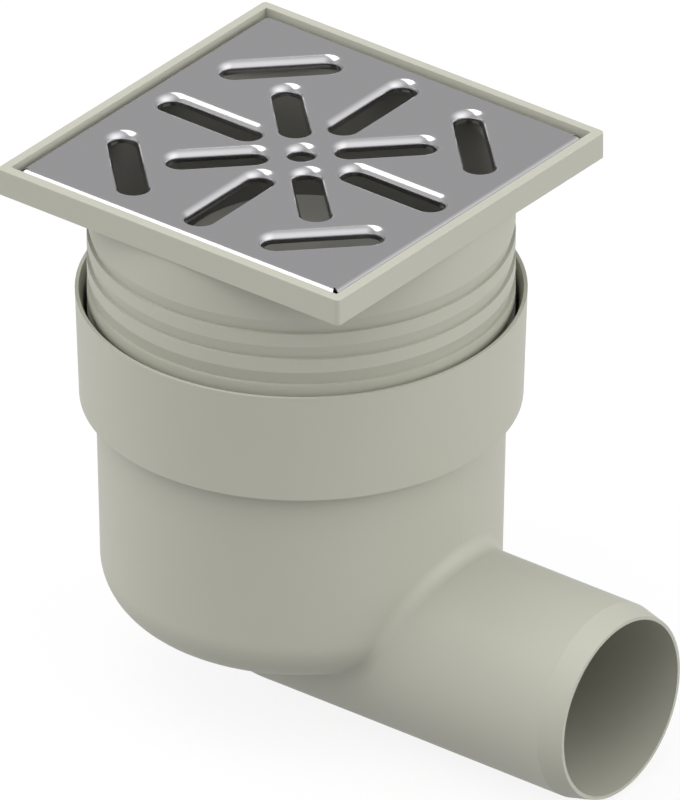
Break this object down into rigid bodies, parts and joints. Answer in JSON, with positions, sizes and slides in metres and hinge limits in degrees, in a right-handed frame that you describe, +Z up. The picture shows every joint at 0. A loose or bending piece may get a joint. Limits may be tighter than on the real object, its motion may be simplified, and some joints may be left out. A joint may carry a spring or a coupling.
{
  "type": "gully trap",
  "caption": "Floor gully with a square slotted steel grate, a height-adjustable riser, a bell water seal and a horizontal outlet pipe.",
  "frame": {"origin": "on the drain's vertical axis, at the top of the floor frame, which is finished floor level", "axes": "+X along the outlet pipe, away from the pot; +Z up"},
  "size_m": [0.1534, 0.11, 0.1463],
  "materials": {
    "body_plastic": "satin moulded plastic, warm light grey",
    "bell_plastic": "satin moulded plastic, warm light grey",
    "riser_plastic": "satin moulded plastic, warm light grey",
    "seal_rubber": "smooth black rubber",
    "grate_steel": "polished stainless sheet"
  },
  "bodies": {
    "gully": {"gully_body": "body_plastic", "bell_trap": "bell_plastic"},
    "seal": {"riser_seal": "seal_rubber"},
    "riser": {"riser_frame": "riser_plastic", "grate_plate": "grate_steel"}
  },
  "joints": [
    {"name": "riser_height", "type": "slide", "parent": "gully", "child": "seal", "axis": [0, 0, 1], "range_m": [-0.007, 0.01]},
    {"name": "riser_turn", "type": "hinge", "parent": "seal", "child": "riser", "pos_m": [0, 0, 0], "axis": [0, 0, 1], "continuous": true}
  ]
}
